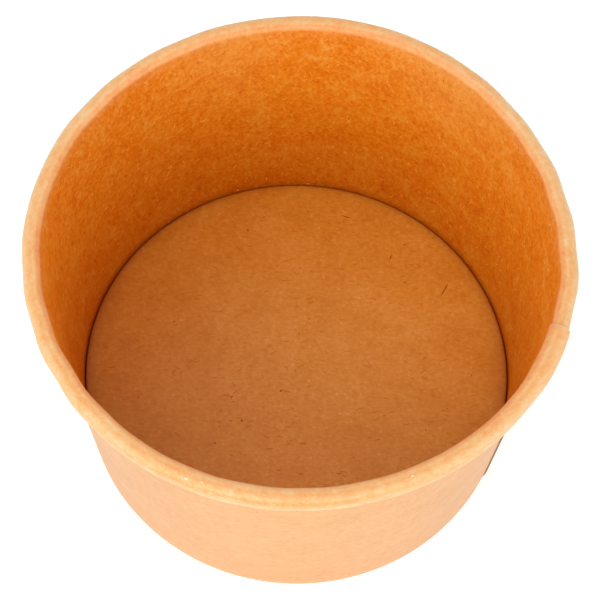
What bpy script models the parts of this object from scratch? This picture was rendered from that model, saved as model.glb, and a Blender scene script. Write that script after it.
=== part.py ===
"""Paper ice cream tub, empty and without a lid, standing on its base.

Two pieces of kraft board make it. The side wall is one sheet wrapped into a
cone: its two ends are lapped and sealed, its top edge is rolled outwards into
the rim, and its bottom edge is turned in and up as a hem. The bottom disc is
drawn with a short skirt, which the wall and the hem hold between them.

Metres, +Z up. The tub stands on z = 0 with its axis on Z. Azimuths run from +X
towards +Y. A section is drawn in (radius, height) and carried round the axis.
"""

import math

import bmesh
import bpy
from mathutils import Matrix, Vector

# Overall sizes
RIM_DIAMETER = 0.096
BASE_DIAMETER = 0.081
TUB_HEIGHT = 0.060

# Side wall: its board, and the lap where the two ends of the sheet are sealed
WALL_BOARD = 0.00045
LAP_WIDTH = 0.007
LAP_RISE = 0.00032
LAP_EASE = 0.0065
LAP_FADE = 0.0012
INNER_END_AZIMUTH = math.radians(-15)

# Rolled rim, over its outside
CURL_WIDTH = 0.0032
CURL_HEIGHT = 0.0042
CURL_CORNER_RADIUS = 0.00125
TUCK_RADIUS = 0.0009
TUCK_LENGTH = 0.0018

# Turned-in hem at the base
HEM_HEIGHT = 0.0072
FOLD_RADIUS = 0.0007

# Bottom disc
DISC_BOARD = 0.0004
FLOOR_HEIGHT = 0.0092
SHOULDER_RADIUS = 0.0008
SKIRT_FOOT_HEIGHT = 0.0014

# Glue line between two layers of board
GLUE_LINE = 0.0003

# Share of the lap's rise that lifts the inner layer on the rim
RIM_LIFT_SHARE = 0.9

# Facets
SEGMENTS = 72
ARC_STEP = math.radians(30)
NARROWEST_FACET_SHARE = 0.35
MERGE_DISTANCE = 1e-7
SHARP_EDGE = math.radians(50)

# Finish of the bare kraft board, outside and inside
WALL_COLOUR = (0.71, 0.36, 0.15, 1.0)
DISC_COLOUR = (0.53, 0.22, 0.06, 1.0)
KRAFT_ROUGHNESS = 0.62

# The wall's outer face leans out from the base to the root of the curl
ROOT_HEIGHT = TUB_HEIGHT - CURL_HEIGHT / 2
ROOT_RADIUS = RIM_DIAMETER / 2 - CURL_WIDTH + WALL_BOARD
LEAN = math.atan2(ROOT_RADIUS - BASE_DIAMETER / 2, ROOT_HEIGHT)
MIDDLE_RADIUS = (ROOT_RADIUS + BASE_DIAMETER / 2) / 2

# Depth of each layer behind the wall's outer face, to the middle of its board
WALL_DEPTH = WALL_BOARD / 2
SKIRT_DEPTH = WALL_BOARD + GLUE_LINE + DISC_BOARD / 2
HEM_DEPTH = WALL_BOARD + GLUE_LINE + DISC_BOARD + GLUE_LINE + WALL_BOARD / 2
TUCK_DEPTH = -(GLUE_LINE + WALL_BOARD / 2)

# How the lap's rise is shared out, as (lift of the inner layer, push of the outer layer)
NO_LAP_SHARES = (0.0, 0.0)
WALL_LAP_SHARES = (0.0, 1.0)
RIM_LAP_SHARES = (RIM_LIFT_SHARE, 1.0 - RIM_LIFT_SHARE)


def on_slope(depth, height):
    """Section point at a height, on the line that lies this deep behind the wall's outer face."""
    radius = BASE_DIAMETER / 2 + height * math.tan(LEAN) - depth / math.cos(LEAN)
    return Vector((radius, height))


def left_of(direction):
    """Unit vector to the left of a direction in the section."""
    return Vector((-direction.y, direction.x)).normalized()


def rounded_path(corners):
    """Runs a path through corners, given as (point, arc radius, lap shares), and rounds them.

    Returns stations, as (point, left normal, lap shares).
    """
    stations = []
    for index, (point, radius, shares) in enumerate(corners):
        before = corners[max(index - 1, 0)][0]
        after = corners[min(index + 1, len(corners) - 1)][0]
        arriving = point - before if index else after - point
        leaving = after - point if index < len(corners) - 1 else arriving
        if not radius:
            stations.append((point, left_of(arriving), shares))
            continue
        turn = -arriving.angle_signed(leaving)
        hand = math.copysign(1, turn)
        start = point - arriving.normalized() * radius * math.tan(abs(turn) / 2)
        centre = start + left_of(arriving) * hand * radius
        steps = math.ceil(abs(turn) / ARC_STEP)
        for step in range(steps + 1):
            normal = Matrix.Rotation(turn * step / steps, 2) @ left_of(arriving)
            stations.append((centre - normal * hand * radius, normal, shares))
    return stations


def wall_stations():
    """The middle of the wall's board, from the free end of the hem to the tucked end of the curl."""
    rim_middle = RIM_DIAMETER / 2 - WALL_BOARD / 2
    rim_top = TUB_HEIGHT - WALL_BOARD / 2
    rim_under = TUB_HEIGHT - CURL_HEIGHT + WALL_BOARD / 2
    fold_radius = FOLD_RADIUS - WALL_BOARD / 2
    curl_radius = CURL_CORNER_RADIUS - WALL_BOARD / 2
    fold_top = FOLD_RADIUS + LAP_FADE
    tuck_top = TUB_HEIGHT - CURL_HEIGHT + TUCK_LENGTH
    return rounded_path([
        (on_slope(HEM_DEPTH, HEM_HEIGHT), 0, NO_LAP_SHARES),
        (on_slope(HEM_DEPTH, HEM_HEIGHT - LAP_FADE), 0, WALL_LAP_SHARES),
        (on_slope(HEM_DEPTH, fold_top), 0, WALL_LAP_SHARES),
        (on_slope(HEM_DEPTH, WALL_BOARD / 2), fold_radius, NO_LAP_SHARES),
        (on_slope(WALL_DEPTH, WALL_BOARD / 2), fold_radius, NO_LAP_SHARES),
        (on_slope(WALL_DEPTH, fold_top), 0, WALL_LAP_SHARES),
        (on_slope(WALL_DEPTH, rim_top), curl_radius, RIM_LAP_SHARES),
        (Vector((rim_middle, rim_top)), curl_radius, RIM_LAP_SHARES),
        (Vector((rim_middle, rim_under)), curl_radius, RIM_LAP_SHARES),
        (on_slope(TUCK_DEPTH, rim_under), TUCK_RADIUS - WALL_BOARD / 2, NO_LAP_SHARES),
        (on_slope(TUCK_DEPTH, tuck_top), 0, NO_LAP_SHARES),
    ])


def eased(distance):
    """One at the lap, falling smoothly to zero where the sheet is back on the round."""
    share = min(distance / LAP_EASE, 1.0)
    return (1.0 - share) ** 2 * (1.0 + 2.0 * share)


def wall_columns():
    """Azimuths round the wall, each with the (lift, push) of its inner and of its outer face.

    The columns start where the inner layer ends and come back to it. The outer
    layer ends one lap's width before that. At both ends a column is doubled,
    and the cut edge of the board lies between the two.
    """
    facet = math.tau / SEGMENTS
    outer_end = math.tau - LAP_WIDTH / MIDDLE_RADIUS
    clear = facet * NARROWEST_FACET_SHARE
    single = [facet * k for k in range(SEGMENTS) if facet * k < outer_end - clear] + [outer_end]
    lapped = [outer_end] + [facet * k for k in range(SEGMENTS + 1) if facet * k > outer_end + clear]
    columns = []
    for turned in single:
        push = eased(turned * MIDDLE_RADIUS)
        lift = eased((outer_end - turned) * MIDDLE_RADIUS)
        columns.append((INNER_END_AZIMUTH + turned, (lift, push), (lift, push)))
    for turned in lapped:
        columns.append((INNER_END_AZIMUTH + turned, (1.0, 0.0), (0.0, 1.0)))
    return columns


def face_point(station, side, azimuth, lap):
    """World point on one face of the board, where side is 1 on the inner face and -1 on the outer."""
    middle, normal, (lift_share, push_share) = station
    lift, push = lap
    offset = side * WALL_BOARD / 2 + LAP_RISE * (lift * lift_share - push * push_share)
    radius, height = middle + normal * offset
    return Vector((radius * math.cos(azimuth), radius * math.sin(azimuth), height))


def node(name, mesh_data, material, parent):
    """Turns a bmesh into a named object with its material, shaded smooth between its sharp edges."""
    mesh = bpy.data.meshes.new(name)
    mesh_data.to_mesh(mesh)
    mesh_data.free()
    mesh.materials.append(material)
    mesh.shade_smooth()
    mesh.set_sharp_from_angle(angle=SHARP_EDGE)
    item = bpy.data.objects.new(name, mesh)
    item.parent = parent
    bpy.context.scene.collection.objects.link(item)
    return item


def kraft(name, colour):
    """Matt, unbleached paperboard."""
    material = bpy.data.materials.new(name)
    material.use_nodes = True
    shader = material.node_tree.nodes["Principled BSDF"]
    shader.inputs["Base Color"].default_value = colour
    shader.inputs["Roughness"].default_value = KRAFT_ROUGHNESS
    shader.inputs["Metallic"].default_value = 0.0
    return material


def side_wall(parent):
    """One sheet: hem, fold, lapped cone and rolled rim, closed as a ring of sections."""
    stations = wall_stations()
    board = bmesh.new()
    rings = []
    for azimuth, inner_lap, outer_lap in wall_columns():
        inner = [face_point(station, 1, azimuth, inner_lap) for station in stations]
        outer = [face_point(station, -1, azimuth, outer_lap) for station in reversed(stations)]
        rings.append([board.verts.new(point) for point in inner + outer])
    for ring, following in zip(rings, rings[1:] + rings[:1]):
        for k in range(len(ring)):
            board.faces.new((ring[k - 1], ring[k], following[k], following[k - 1]))
    bmesh.ops.remove_doubles(board, verts=board.verts, dist=MERGE_DISTANCE)
    bmesh.ops.recalc_face_normals(board, faces=board.faces)
    return node("side_wall", board, kraft("kraft_wall_board", WALL_COLOUR), parent)


def bottom_disc(parent):
    """Flat floor, rounded shoulder and skirt, turned about the axis below the floor's face."""
    middle_height = FLOOR_HEIGHT - DISC_BOARD / 2
    stations = rounded_path([
        (Vector((0.0, middle_height)), 0, NO_LAP_SHARES),
        (on_slope(SKIRT_DEPTH, middle_height), SHOULDER_RADIUS - DISC_BOARD / 2, NO_LAP_SHARES),
        (on_slope(SKIRT_DEPTH, SKIRT_FOOT_HEIGHT), 0, NO_LAP_SHARES),
    ])
    upper = [middle + normal * DISC_BOARD / 2 for middle, normal, _ in stations]
    under = [middle - normal * DISC_BOARD / 2 for middle, normal, _ in reversed(stations)]
    disc = bmesh.new()
    profile = [disc.verts.new((point.x, 0.0, point.y - FLOOR_HEIGHT)) for point in upper + under]
    edges = [disc.edges.new(pair) for pair in zip(profile, profile[1:])]
    bmesh.ops.spin(
        disc, geom=profile + edges, cent=(0.0, 0.0, 0.0), axis=(0.0, 0.0, 1.0),
        angle=math.tau, steps=SEGMENTS, use_merge=True,
    )
    bmesh.ops.remove_doubles(disc, verts=disc.verts, dist=MERGE_DISTANCE)
    bmesh.ops.recalc_face_normals(disc, faces=disc.faces)
    floor = node("bottom_disc", disc, kraft("kraft_disc_board", DISC_COLOUR), parent)
    floor.location.z = FLOOR_HEIGHT
    return floor


def build():
    """Clears the scene and models the tub."""
    for item in list(bpy.data.objects):
        bpy.data.objects.remove(item, do_unlink=True)
    tub = bpy.data.objects.new("paper_tub", None)
    bpy.context.scene.collection.objects.link(tub)
    side_wall(tub)
    bottom_disc(tub)


build()
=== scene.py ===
"""Paper ice cream tub: the looks of its board, its rolled rim, its lapped seam and its base.

Metres, +Z up. The tub stands on z = 0 with its axis on Z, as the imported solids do.
Azimuths run from +X towards +Y. The side wall is one sheet of kraft board: its
section, drawn in (radius, height), is carried round the axis as a grid of columns.
The bottom disc is a section of its own, spun about the same axis. Shares run from 0
to 1. Back is the sine of the azimuth: 1 at the back of the tub and -1 at its front.
"""

import logging
import math
from dataclasses import dataclass, field
from enum import Enum

import bpy
import numpy as np
from mathutils import Matrix


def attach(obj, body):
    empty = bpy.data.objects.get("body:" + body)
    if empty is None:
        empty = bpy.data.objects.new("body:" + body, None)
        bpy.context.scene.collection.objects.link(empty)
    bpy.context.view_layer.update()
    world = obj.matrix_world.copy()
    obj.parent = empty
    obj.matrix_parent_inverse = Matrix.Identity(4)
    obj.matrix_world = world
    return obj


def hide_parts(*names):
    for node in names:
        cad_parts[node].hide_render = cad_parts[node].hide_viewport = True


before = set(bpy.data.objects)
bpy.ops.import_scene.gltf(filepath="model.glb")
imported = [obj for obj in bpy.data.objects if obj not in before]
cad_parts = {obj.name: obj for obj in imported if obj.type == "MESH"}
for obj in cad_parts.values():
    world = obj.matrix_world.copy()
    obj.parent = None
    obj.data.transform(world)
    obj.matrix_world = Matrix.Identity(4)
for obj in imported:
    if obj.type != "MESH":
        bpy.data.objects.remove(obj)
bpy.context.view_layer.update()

LOG = logging.getLogger("paper_tub")
Colour = tuple[float, float, float, float]
Pair = tuple[float, float]
Tree = bpy.types.NodeTree
Socket = bpy.types.NodeSocket
MM = 0.001
TURN_DIGITS = 7
TINY_TURN = 1e-9
FLECK_STATIONS, FLECK_SIDES, FLECK_RELIEF, FLECK_TIP = 7, 6, 0.22, 0.995
SHEEN_ROUGHNESS = 0.4
RELIEF_DEPTH = 0.06 * MM
SENSOR_MM = 36.0
PICTURE_PIXELS = 600.0


def hex_to_linear(code: str) -> Colour:
    """Turns an sRGB hex colour into the linear colour that a shader takes.

    Each channel c is c / 12.92 below 0.04045, and ((c + 0.055) / 1.055) ** 2.4 above it.

    Args:
        code: six hex digits, with or without a leading #.

    Returns:
        Linear red, green and blue, with an alpha of one.
    """
    digits = code.lstrip("#")
    channels = [int(digits[k:k + 2], 16) / 255 for k in (0, 2, 4)]
    linear = [c / 12.92 if c <= 0.04045 else ((c + 0.055) / 1.055) ** 2.4 for c in channels]
    return (linear[0], linear[1], linear[2], 1.0)


def smooth_step(share: np.ndarray) -> np.ndarray:
    """Rises smoothly from 0 to 1: s * s * (3 - 2 s), with s held between 0 and 1."""
    held = np.clip(share, 0.0, 1.0)
    return held * held * (3.0 - 2.0 * held)


def add_node(
    tree: Tree, kind: str, inputs: dict | None = None, **settings: object
) -> bpy.types.Node:
    """Adds a node with its settings, its values and its links.

    Args:
        tree: the node tree that gets the node.
        kind: the node's Blender type.
        inputs: a value, or the output socket to link, for each input by name or number.
        settings: the node's own properties.

    Returns:
        The new node.
    """
    node = tree.nodes.new(kind)
    for name, value in settings.items():
        setattr(node, name, value)
    for key, value in (inputs or {}).items():
        if isinstance(value, Socket):
            tree.links.new(value, node.inputs[key])
        else:
            node.inputs[key].default_value = value
    return node


def maths(tree: Tree, operation: str, *values: Socket | float) -> Socket:
    """Adds a math node, by the name of its operation and its values in order."""
    return add_node(tree, "ShaderNodeMath", dict(enumerate(values)), operation=operation).outputs[0]


def ranged(tree: Tree, value: Socket, limits: dict[str, float], **settings: str) -> Socket:
    """Adds a map range node, with the limits that differ from 0 and 1."""
    return add_node(tree, "ShaderNodeMapRange", {"Value": value, **limits}, **settings).outputs[0]


def flat_noise(tree: Tree, place: Socket, **inputs: float) -> Socket:
    """Adds a noise over the flat board, 0.5 on average."""
    node = add_node(tree, "ShaderNodeTexNoise", {"Vector": place, **inputs}, noise_dimensions="2D")
    return node.outputs["Fac"]


def stored_share(tree: Tree, name: str) -> Socket:
    """A share that the mesh stores at its vertices."""
    return add_node(tree, "ShaderNodeAttribute", attribute_name=name).outputs["Fac"]


def laid_out(
    tree: Tree, place: Socket, shift: Pair, size: Pair = (1.0, 1.0), angle: float = 0.0
) -> Socket:
    """Place on a pattern that is moved, turned and drawn out to this many millimetres."""
    spread = {"Location": (*shift, 0.0), "Rotation": (0.0, 0.0, angle), "Scale": (*size, 1.0)}
    return add_node(
        tree, "ShaderNodeMapping", {"Vector": place, **spread}, vector_type="TEXTURE"
    ).outputs[0]


def ramp(tree: Tree, share: Socket, stops: tuple[tuple[float, str | Colour], ...]) -> Socket:
    """Turns a share into a colour, by its stops: places from 0 to 1, with hex or linear colours."""
    node = add_node(tree, "ShaderNodeValToRGB", {"Fac": share})
    elements = node.color_ramp.elements
    for count, (place, colour) in enumerate(stops):
        stop = elements[count] if count < 2 else elements.new(place)
        stop.position = place
        stop.color = hex_to_linear(colour) if isinstance(colour, str) else colour
    return node.outputs["Color"]


def mixed(
    tree: Tree, share: str | float, below: Socket, above: Socket | str, blend: str = "MIX"
) -> Socket:
    """Lays one colour over another by a number or a stored share, or multiplies the two."""
    factor = stored_share(tree, share) if isinstance(share, str) else share
    colour = hex_to_linear(above) if isinstance(above, str) else above
    return add_node(
        tree, "ShaderNodeMix", {0: factor, 6: below, 7: colour}, data_type="RGBA", blend_type=blend
    ).outputs[2]


class BoardFace(Enum):
    """The faces that a sheet of board shows, as material slots of its mesh."""

    LINED = 0
    BARE = 1
    CUT = 2


@dataclass(frozen=True)
class TubSizes:
    """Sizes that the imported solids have, which every surface here keeps."""

    rim_radius: float = 48.0 * MM
    base_radius: float = 40.5 * MM
    height: float = 60.0 * MM
    wall_board: float = 0.45 * MM
    disc_board: float = 0.4 * MM
    glue_line: float = 0.3 * MM
    lap_width: float = 7.0 * MM
    lap_rise: float = 0.32 * MM
    lap_ease: float = 6.5 * MM
    lap_fade: float = 2.6 * MM
    curl_width: float = 3.2 * MM
    curl_height: float = 4.2 * MM
    curl_corner: float = 1.25 * MM
    tuck_corner: float = 0.9 * MM
    tuck_length: float = 1.8 * MM
    hem_height: float = 7.2 * MM
    fold_corner: float = 0.7 * MM
    floor_height: float = 9.2 * MM
    skirt_foot: float = 1.4 * MM
    inner_end: float = math.radians(-15.0)

    @property
    def root_radius(self) -> float:
        """Radius of the wall's outer face where the curl begins."""
        return self.rim_radius - self.curl_width + self.wall_board

    @property
    def lean(self) -> float:
        """Angle by which the wall leans out."""
        return math.atan2(self.root_radius - self.base_radius, self.height - self.curl_height / 2)

    @property
    def middle_radius(self) -> float:
        """Radius of the wall's outer face half way up."""
        return (self.root_radius + self.base_radius) / 2

    @property
    def outer_end(self) -> float:
        """How far round from the inner end of the sheet its outer end lies."""
        return math.tau - self.lap_width / self.middle_radius

    @property
    def hem_depth(self) -> float:
        """Depth of the hem behind the wall's outer face, to the middle of its board."""
        return self.wall_board * 1.5 + self.glue_line * 2 + self.disc_board

    def on_slope(self, depth: float, height: float) -> Pair:
        """Section point at a height, this deep behind the wall's outer face."""
        radius = self.base_radius + height * math.tan(self.lean) - depth / math.cos(self.lean)
        return (radius, height)


@dataclass(frozen=True)
class Corner:
    """A corner of a section: its point, its arc, and its shares of the lap's lift and push."""

    point: Pair
    arc: float = 0.0
    lift: float = 0.0
    push: float = 0.0


@dataclass
class Section:
    """Stations along the middle of a bent board, made from corners that arcs round off."""

    corners: list[Corner]
    arc_step: float = math.radians(13.0)
    straight_step: float = 2.6 * MM
    points: np.ndarray = field(init=False)
    normals: np.ndarray = field(init=False)
    shares: np.ndarray = field(init=False)
    run: np.ndarray = field(init=False)

    def __post_init__(self) -> None:
        """Works the stations out, with the length of board run at each."""
        rows = [self.corner_rows(k) for k in range(len(self.corners))]
        table = [rows[0]]
        for before, after in zip(rows, rows[1:]):
            gap = float(np.hypot(*(after[0, :2] - before[-1, :2])))
            steps = max(int(round(gap / self.straight_step)), 1)
            t = (np.arange(1, steps) / steps)[:, None]
            table += [before[-1] * (1 - t) + after[0] * t, after]
        stations = np.concatenate(table)
        self.points = stations[:, 0:2]
        self.normals = stations[:, 2:4] / np.hypot(stations[:, 2], stations[:, 3])[:, None]
        self.shares = stations[:, 4:6]
        steps = np.hypot(*np.diff(self.points, axis=0).T)
        self.run = np.concatenate([[0.0], np.cumsum(steps)])

    def corner_rows(self, index: int) -> np.ndarray:
        """Stations of one corner: an arc that touches both its sides, in even turns of its normal.

        Args:
            index: which corner.

        Returns:
            Rows of radius, height, the normal to the left of the path, lift share and push share.
        """
        corner = self.corners[index]
        here = np.array(corner.point)
        before = np.array(self.corners[max(index - 1, 0)].point)
        after = np.array(self.corners[min(index + 1, len(self.corners) - 1)].point)
        arriving = here - before if index else after - here
        leaving = after - here if index < len(self.corners) - 1 else arriving
        arriving, leaving = arriving / np.hypot(*arriving), leaving / np.hypot(*leaving)
        left = np.array([-arriving[1], arriving[0]])
        if not corner.arc:
            return np.array([[*here, *left, corner.lift, corner.push]])
        turn = math.atan2(arriving[0] * leaving[1] - arriving[1] * leaving[0], arriving @ leaving)
        hand = math.copysign(1.0, turn)
        centre = here - arriving * corner.arc * math.tan(abs(turn) / 2) + left * hand * corner.arc
        angles = turn * np.linspace(0.0, 1.0, math.ceil(abs(turn) / self.arc_step) + 1)
        normals = np.stack([
            left[0] * np.cos(angles) - left[1] * np.sin(angles),
            left[0] * np.sin(angles) + left[1] * np.cos(angles),
        ], axis=1)
        shares = np.tile([corner.lift, corner.push], (len(angles), 1))
        return np.hstack([centre - normals * hand * corner.arc, normals, shares])


@dataclass(frozen=True)
class OutOfRound:
    """How far a real tub is from a true round: slow waves that the hand leaves, full at the rim."""

    inset: float = 0.36 * MM
    counts: tuple[int, ...] = (2, 3, 4)
    sizes: tuple[float, ...] = (0.165 * MM, 0.111 * MM, 0.145 * MM)
    phases: tuple[float, ...] = (math.radians(-7.4), math.radians(-31.5), math.radians(-22.0))
    ripple: float = 0.016 * MM
    ripple_counts: tuple[int, ...] = tuple(range(9, 34))
    ripple_start: float = 0.825
    ripple_ease: float = 0.125
    seed: int = 7

    def at_rim(self, azimuth: np.ndarray) -> np.ndarray:
        """Offset at the rim: the sum of size * cos(count * (azimuth - phase)), less the inset."""
        waves = zip(self.counts, self.sizes, self.phases)
        return sum(size * np.cos(n * (azimuth - phase)) for n, size, phase in waves) - self.inset

    def rippled(self, azimuth: np.ndarray) -> np.ndarray:
        """Fine unevenness of the rolled rim: many short waves with seeded heights and phases."""
        chance = np.random.default_rng(self.seed)
        counts = np.array(self.ripple_counts)[:, None]
        heights = chance.normal(0.0, self.ripple, counts.shape)
        phases = chance.uniform(0.0, math.tau, counts.shape)
        return (heights * np.cos(counts * azimuth[None, :] + phases)).sum(axis=0)

    def offset(self, azimuth: np.ndarray, up: np.ndarray) -> np.ndarray:
        """Radial offset of each column by its share up the tub, with the ripples on the rim."""
        on_rim = smooth_step((up - self.ripple_start) / self.ripple_ease)
        return self.at_rim(azimuth)[:, None] * up + self.rippled(azimuth)[:, None] * on_rim


@dataclass(frozen=True)
class Bell:
    """A soft bump along one way: level * exp(-((x - middle) / spread) ** 2)."""

    middle: float
    spread: float
    level: float = 1.0

    def at(self, places: np.ndarray) -> np.ndarray:
        """Height of the bump at each place."""
        return self.level * np.exp(-(((places - self.middle) / self.spread) ** 2))


def mesh_piece(
    name: str, points: np.ndarray, quads: np.ndarray, slots: np.ndarray | None = None,
    uv: np.ndarray | None = None,
) -> bpy.types.Object:
    """Puts a grid of quads into a mesh object at the origin.

    Args:
        name: the piece's name.
        points: vertices in metres, with X, Y and Z on the last axis.
        quads: four vertex numbers for each face, turned so that it points outwards.
        slots: the material slot of each face, or None where there is one material.
        uv: the place on the flat board of each face's four corners, in metres.

    Returns:
        The object, linked to the scene and shaded smooth.
    """
    mesh = bpy.data.meshes.new(name)
    mesh.vertices.add(points.size // 3)
    mesh.vertices.foreach_set("co", points.astype(np.float32).ravel())
    mesh.loops.add(quads.size)
    mesh.loops.foreach_set("vertex_index", quads.astype(np.int32).ravel())
    faces = quads.size // 4
    mesh.polygons.add(faces)
    mesh.polygons.foreach_set("loop_start", np.arange(0, quads.size, 4, dtype=np.int32))
    mesh.polygons.foreach_set("use_smooth", np.ones(faces, dtype=bool))
    if slots is not None:
        mesh.polygons.foreach_set("material_index", slots.astype(np.int32).ravel())
    if uv is not None:
        layer = mesh.uv_layers.new(name="flat_board")
        layer.data.foreach_set("uv", uv.astype(np.float32).ravel())
    mesh.update(calc_edges=True)
    mesh.validate()
    piece = bpy.data.objects.new(name, mesh)
    bpy.context.scene.collection.objects.link(piece)
    return piece


def add_share(piece: bpy.types.Object, name: str, shares: np.ndarray) -> None:
    """Stores a share at each vertex, for a material to read by its name."""
    attribute = piece.data.attributes.new(name, "FLOAT", "POINT")
    attribute.data.foreach_set("value", shares.astype(np.float32).ravel())


def spun(radius: np.ndarray, azimuth: np.ndarray, height: np.ndarray) -> np.ndarray:
    """Points at (r cos a, r sin a, z), shaped columns by stations by 3."""
    cos, sin = np.cos(azimuth)[:, None], np.sin(azimuth)[:, None]
    return np.stack([radius * cos, radius * sin, np.broadcast_to(height, radius.shape)], axis=2)


def grid_quads(columns: int, stations: int) -> tuple[np.ndarray, np.ndarray]:
    """Vertex numbers of a grid, and the quads that join its columns, closed both ways."""
    number = np.arange(columns * stations).reshape(columns, stations)
    ahead = np.roll(number, -1, axis=0)
    up, ahead_up = np.roll(number, -1, axis=1), np.roll(ahead, -1, axis=1)
    return number, np.stack([number, up, ahead_up, ahead], axis=-1)


def ring_cap(ring: np.ndarray, centre: int) -> np.ndarray:
    """Quads that close a ring round one middle vertex, each over two of the ring's sides."""
    centres = np.full(len(ring) // 2, centre)
    return np.stack([centres, ring[0::2], ring[1::2], np.roll(ring, -2)[0::2]], axis=-1)


@dataclass
class SideWall:
    """The sheet that makes the hem, the wall and the rolled rim, lapped on itself at the side."""

    sizes: TubSizes
    out_of_round: OutOfRound = field(default_factory=OutOfRound)
    columns: int = 600
    edge_run: float = 0.26 * MM
    edge_columns: int = 7
    least_spacing: float = 0.2
    knurl_count: int = 150
    knurl_depth: float = 0.05 * MM
    rim_start: float = 1.4 * MM
    rim_ease: float = 1.0 * MM
    curl_lead: float = 2.0 * MM
    # Painted shade in the crease at the wall's foot, partly the seal's stain: a dark line that
    # fades towards the back, over a wider painted shade that is strongest at the front.
    seal_shade_level: float = 0.62
    seal_shade_fading: float = 0.35
    seal_shade_width: float = 0.5 * MM
    seal_shade_narrowing: float = 0.4
    foot_shade_level: float = 0.27
    foot_shade_width: float = 2.2 * MM
    # Paler yellow patches high up at the back of the lining, by azimuth in degrees and by depth.
    pale_patches: tuple[Bell, ...] = (Bell(52.0, 17.0, 0.26), Bell(111.0, 9.0, 0.21))
    pale_patch_depth: Bell = Bell(0.0, 0.24)
    # Painted light on the rolled rim by the side of the tub: a painted highlight on the crest at
    # the front, the lip painted paler at the back and darker at the front, and the back's flanks
    # painted paler.
    lip: Bell = Bell(0.345, 0.045)
    crest: Bell = Bell(0.085, 0.025)
    lip_light_shift: float = 0.28
    crest_highlight_shift: float = 0.32
    flank_light_shift: float = 0.08
    flank_lip_light_shift: float = 0.2
    front_power: int = 6

    def section(self) -> Section:
        """The middle of the board, from the free end of the hem to the tucked end of the curl."""
        s = self.sizes
        half = s.wall_board / 2
        fold_top = s.fold_corner + s.lap_fade
        rim_middle, rim_top = s.rim_radius - half, s.height - half
        rim_under = s.height - s.curl_height + half
        tuck_depth = -(s.glue_line + half)
        return Section([
            Corner(s.on_slope(s.hem_depth, s.hem_height)),
            Corner(s.on_slope(s.hem_depth, s.hem_height - s.lap_fade), push=1.0),
            Corner(s.on_slope(s.hem_depth, fold_top), push=1.0),
            Corner(s.on_slope(s.hem_depth, half), s.fold_corner - half),
            Corner(s.on_slope(half, half), s.fold_corner - half),
            Corner(s.on_slope(half, fold_top), push=1.0),
            Corner(s.on_slope(half, rim_top), s.curl_corner - half, 0.9, 0.1),
            Corner((rim_middle, rim_top), s.curl_corner - half, 0.9, 0.1),
            Corner((rim_middle, rim_under), s.curl_corner - half, 0.9, 0.1),
            Corner(s.on_slope(tuck_depth, rim_under), s.tuck_corner - half),
            Corner(s.on_slope(tuck_depth, s.height - s.curl_height + s.tuck_length)),
        ])

    def turns(self) -> np.ndarray:
        """How far round from the inner end each column lies: evenly, and closely at both ends."""
        even = np.linspace(0.0, math.tau, self.columns, endpoint=False)
        close = np.linspace(-1.0, 1.0, self.edge_columns) * self.edge_run / self.sizes.middle_radius
        near_outer = self.sizes.outer_end + close
        near_inner = math.tau - (close[1:] - close[0])
        turned = np.unique(np.round(np.concatenate([even, near_outer, near_inner]), TURN_DIGITS))
        spaced = np.diff(turned) > self.least_spacing * (close[1] - close[0])
        before_full = turned < math.tau - 10.0 ** (1 - TURN_DIGITS)
        return turned[np.concatenate([[True], spaced]) & before_full]

    def lap_of(self, turned: np.ndarray) -> tuple[np.ndarray, np.ndarray, np.ndarray, np.ndarray]:
        """Lift and push of the two faces of the board, by how far round a column lies.

        The outer layer is pushed out where the sheet begins, and the inner layer is
        lifted in where it ends. Both ease to nothing over the lap's ease. At an end of
        the sheet a face steps from one layer to the other over one edge's run.

        Args:
            turned: angles round from the inner end.

        Returns:
            Lift and push of the lined face, then lift and push of the bare face.
        """
        s = self.sizes
        run = turned * s.middle_radius
        outer_run = s.outer_end * s.middle_radius
        full_run = math.tau * s.middle_radius
        single = turned < s.outer_end
        pushed = np.where(single, 1.0 - smooth_step(run / s.lap_ease), 0.0)
        lifted = np.where(single, 1.0 - smooth_step((outer_run - run) / s.lap_ease), 1.0)
        inner_step = smooth_step(1.0 - (full_run - run) / self.edge_run)
        outer_step = smooth_step((run - outer_run) / self.edge_run)
        return (
            lifted * (1 - inner_step), pushed * (1 - inner_step) + inner_step,
            lifted * (1 - outer_step), pushed * (1 - outer_step) + outer_step,
        )

    def face_grid(
        self, section: Section, azimuth: np.ndarray, side: float, lift: np.ndarray, push: np.ndarray
    ) -> np.ndarray:
        """One face of the board as a grid of columns by stations.

        Each point is its station moved along the board's normal by half a board plus the
        lap's rise there, then moved out as far as the tub is out of round there and turned
        to its azimuth. The ribs that the sealing tool pressed into the hem are
        depth * (0.5 - 0.5 cos(count * azimuth)) deep.

        Args:
            section: stations of the board's middle.
            azimuth: azimuth of each column.
            side: 1 for the lined face and -1 for the bare face.
            lift: lift of the inner layer at each column.
            push: push of the outer layer at each column.

        Returns:
            Points, shaped columns by stations by 3.
        """
        s = self.sizes
        lift_share, push_share = section.shares.T[:, None]
        rise = lift[:, None] * lift_share - push[:, None] * push_share
        offset = side * s.wall_board / 2 + s.lap_rise * rise
        radius = section.points[None, :, 0] + section.normals[None, :, 0] * offset
        height = section.points[None, :, 1] + section.normals[None, :, 1] * offset
        radius = radius + self.out_of_round.offset(azimuth, np.clip(height / s.height, 0.0, 1.0))
        if side < 0:
            in_hem = (section.run < s.hem_height - s.fold_corner)[None, :]
            ribs = 0.5 - 0.5 * np.cos(self.knurl_count * azimuth)[:, None]
            radius = radius - self.knurl_depth * ribs * in_hem
        return spun(radius, azimuth, height)

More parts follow.
